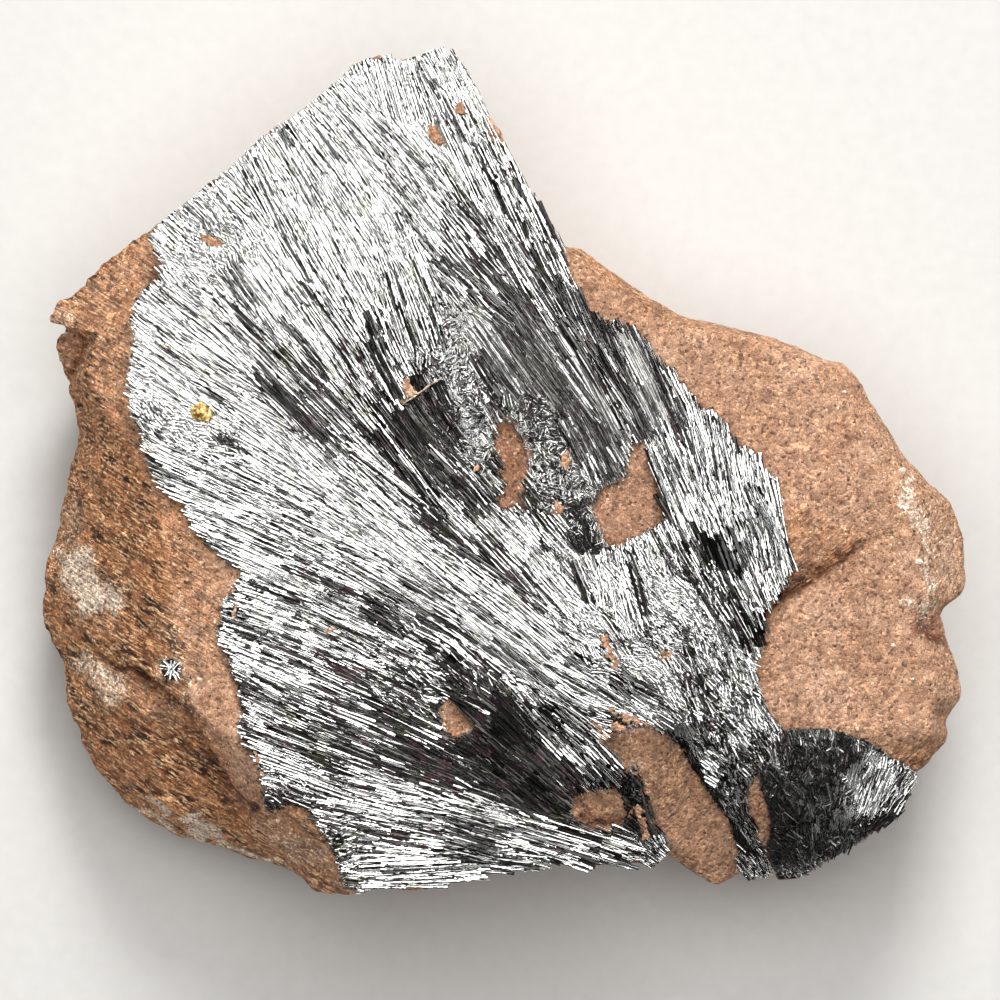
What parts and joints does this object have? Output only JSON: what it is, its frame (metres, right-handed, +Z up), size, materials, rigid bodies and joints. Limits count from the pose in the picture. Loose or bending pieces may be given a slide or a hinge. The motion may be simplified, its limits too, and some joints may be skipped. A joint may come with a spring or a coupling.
{
  "type": "mineral specimen",
  "caption": "Hand specimen of steel-grey bladed pyrolusite in radiating sprays, grown as a crust over a broken slab of reddish-brown sandstone.",
  "frame": {"origin": "on the resting face, under the middle of the specimen's box", "axes": "+X along the longest extent, towards the bare sandstone shoulder; +Y towards the pointed far end of the crust; +Z up, out of the crust"},
  "size_m": [0.0926, 0.0842, 0.0268],
  "materials": {
    "sandstone": "rough broken fine sandstone",
    "pyrolusite": "silky metallic blades, steel grey",
    "dark_pyrolusite": "silky metallic blades, near black",
    "ochre": "waxy yellow grain"
  },
  "bodies": {
    "root": {"host_rock": "sandstone", "main_crust": "pyrolusite", "corner_fan": "dark_pyrolusite", "small_rosette": "pyrolusite", "ochre_grain": "ochre"}
  },
  "joints": []
}
